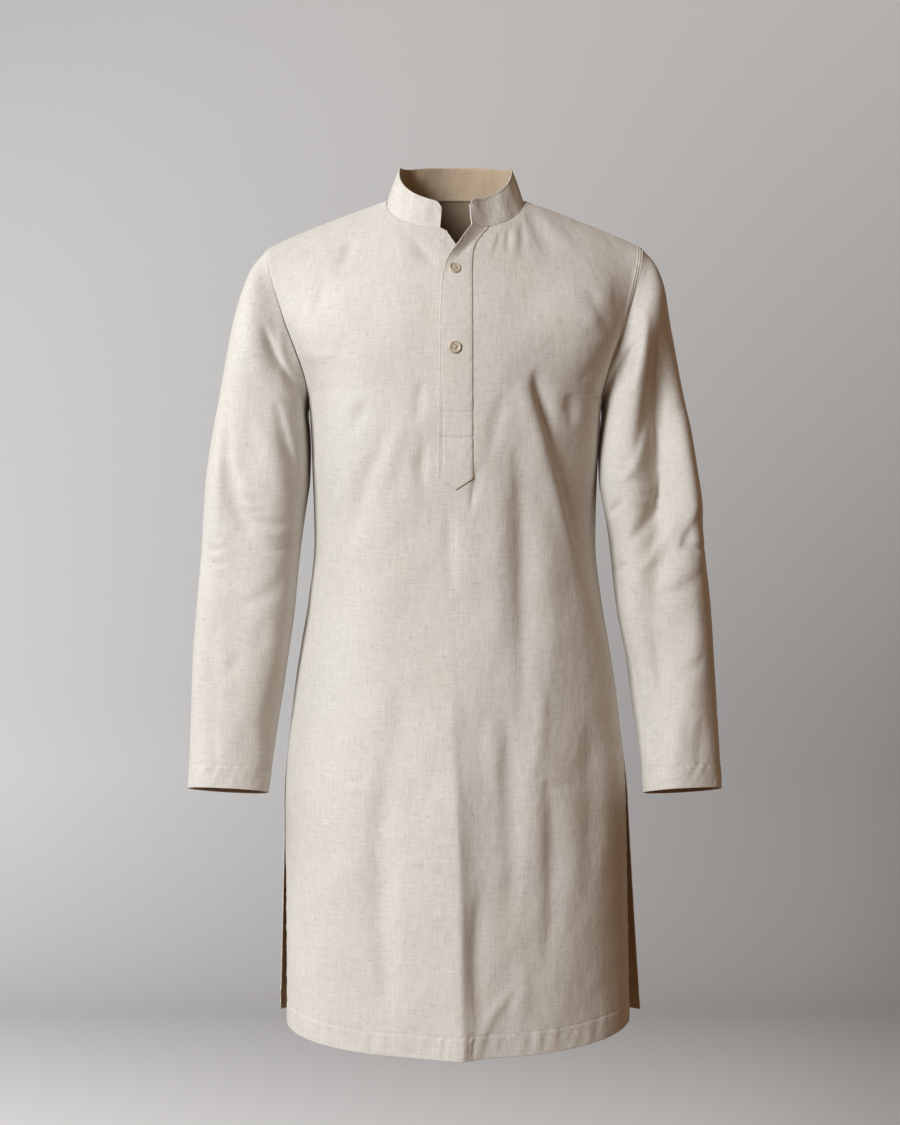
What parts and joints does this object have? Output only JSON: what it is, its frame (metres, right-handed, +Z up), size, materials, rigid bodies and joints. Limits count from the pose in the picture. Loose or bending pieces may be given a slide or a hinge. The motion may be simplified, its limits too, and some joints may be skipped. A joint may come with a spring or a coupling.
{
  "type": "kurta tunic with long sleeves, worn form with no wearer",
  "caption": "Long-sleeved kurta tunic in pale slubby cloth, open band collar, buttoned half placket with a pointed end, straight hem and side slits.",
  "frame": {"origin": "middle of the neck, level with the points where the shoulder seams meet the collar: where the wearer's shoulders hold the tunic up", "axes": "+Z up, +X towards the wearer's left, -Y the front"},
  "size_m": [0.626, 0.2863, 1.0325],
  "materials": {
    "body_cloth": "plain weave with slubs, matt",
    "sleeve_cloth": "plain weave with slubs, matt",
    "collar_cloth": "plain weave, interlined, matt",
    "placket_cloth": "plain weave, doubled, matt",
    "button": "satin"
  },
  "bodies": {
    "root": {"front": "body_cloth", "back": "body_cloth", "sleeve_left": "sleeve_cloth", "sleeve_right": "sleeve_cloth", "collar": "collar_cloth", "placket_over": "placket_cloth", "placket_under": "placket_cloth", "button_upper": "button", "button_lower": "button"}
  },
  "joints": []
}
